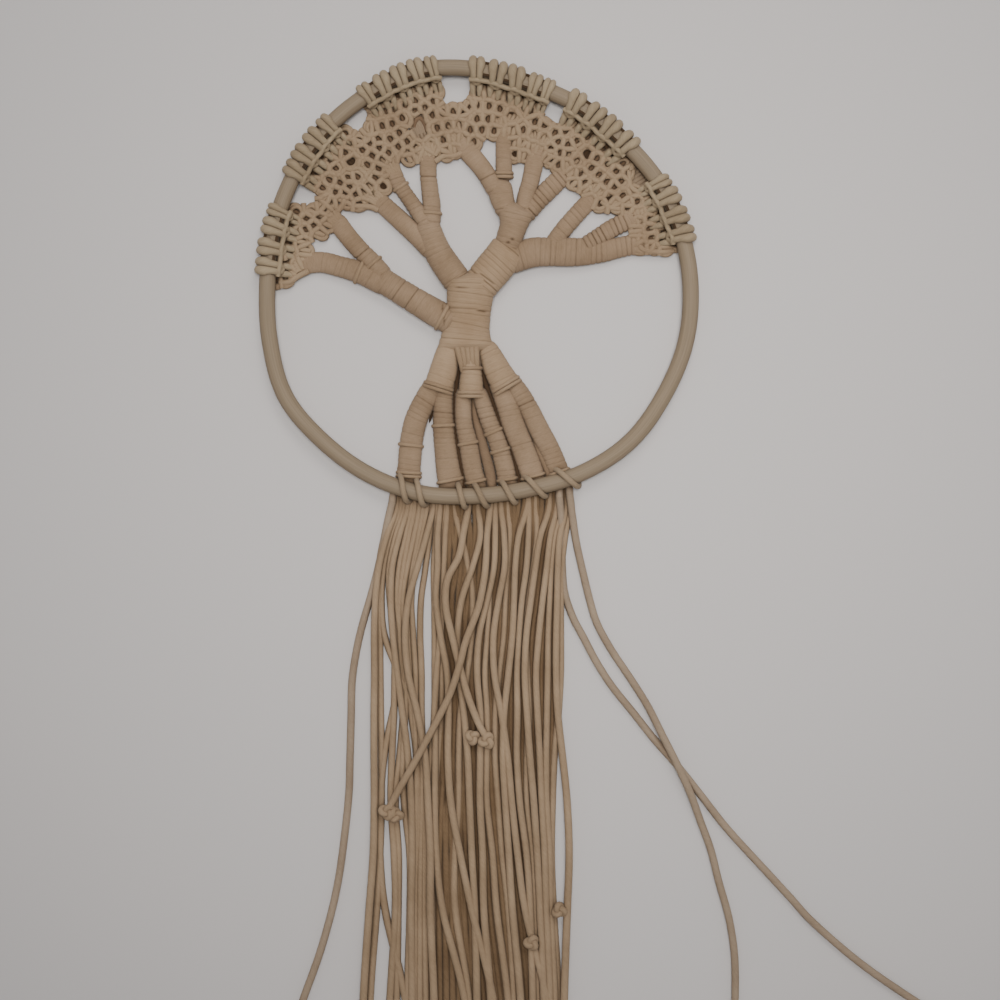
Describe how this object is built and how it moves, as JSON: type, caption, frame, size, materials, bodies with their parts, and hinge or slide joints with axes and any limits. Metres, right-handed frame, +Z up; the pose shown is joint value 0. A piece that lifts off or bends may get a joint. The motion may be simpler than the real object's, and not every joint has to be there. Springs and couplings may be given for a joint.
{
  "type": "macrame tree wall hanging with its wooden hoop",
  "caption": "Macrame wall hanging: a wrapped-cord tree with a netted leafy crown and a long loose fringe, knotted to a bare wooden hoop that it hangs from.",
  "frame": {"origin": "under the middle of the piece, on the surface it lies on, its loose side cords left out of the measure", "axes": "+X to the right of the tree seen face on, +Y to the top of the hoop, +Z up off the surface, out of the face"},
  "size_m": [0.3094, 0.4848, 0.014],
  "materials": {
    "bare_wood": "plain sanded wood, matte",
    "knotted_cord": "matte twisted cotton cord, knotted round the hoop",
    "wrapped_cord": "matte cotton cord wrapped round bundles",
    "netted_cord": "matte cotton cord, close half-hitch net",
    "loose_cord": "matte cotton cord, hanging loose"
  },
  "bodies": {
    "root": {"hoop": "bare_wood", "knots_far_left": "knotted_cord", "knots_left": "knotted_cord", "knots_top_left": "knotted_cord", "knots_top_right": "knotted_cord", "knots_right": "knotted_cord", "knots_far_right": "knotted_cord", "hitch_1": "knotted_cord", "hitch_2": "knotted_cord", "hitch_3": "knotted_cord", "hitch_4": "knotted_cord", "hitch_5": "knotted_cord", "hitch_6": "knotted_cord", "trunk": "wrapped_cord", "bough_low_left": "wrapped_cord", "bough_high_left": "wrapped_cord", "bough_right": "wrapped_cord", "bough_high_right": "wrapped_cord", "bough_low_right": "wrapped_cord", "branch_far_left": "wrapped_cord", "branch_near_left": "wrapped_cord", "branch_low_right": "wrapped_cord", "branch_far_right": "wrapped_cord", "twig_left_1": "wrapped_cord", "twig_left_2": "wrapped_cord", "twig_left_3": "wrapped_cord", "twig_right_stem": "wrapped_cord", "twig_right_1": "wrapped_cord", "twig_right_2": "wrapped_cord", "twig_right_3": "wrapped_cord", "twig_right_4": "wrapped_cord", "root_left": "wrapped_cord", "root_middle": "wrapped_cord", "root_right": "wrapped_cord", "foot_1": "wrapped_cord", "foot_2": "wrapped_cord", "foot_3": "wrapped_cord", "foot_4": "wrapped_cord", "foot_5": "wrapped_cord", "foot_6": "wrapped_cord", "leaf_net": "netted_cord", "fringe": "loose_cord", "stray_left": "loose_cord", "stray_right_outer": "loose_cord", "stray_right_inner": "loose_cord"}
  },
  "joints": []
}
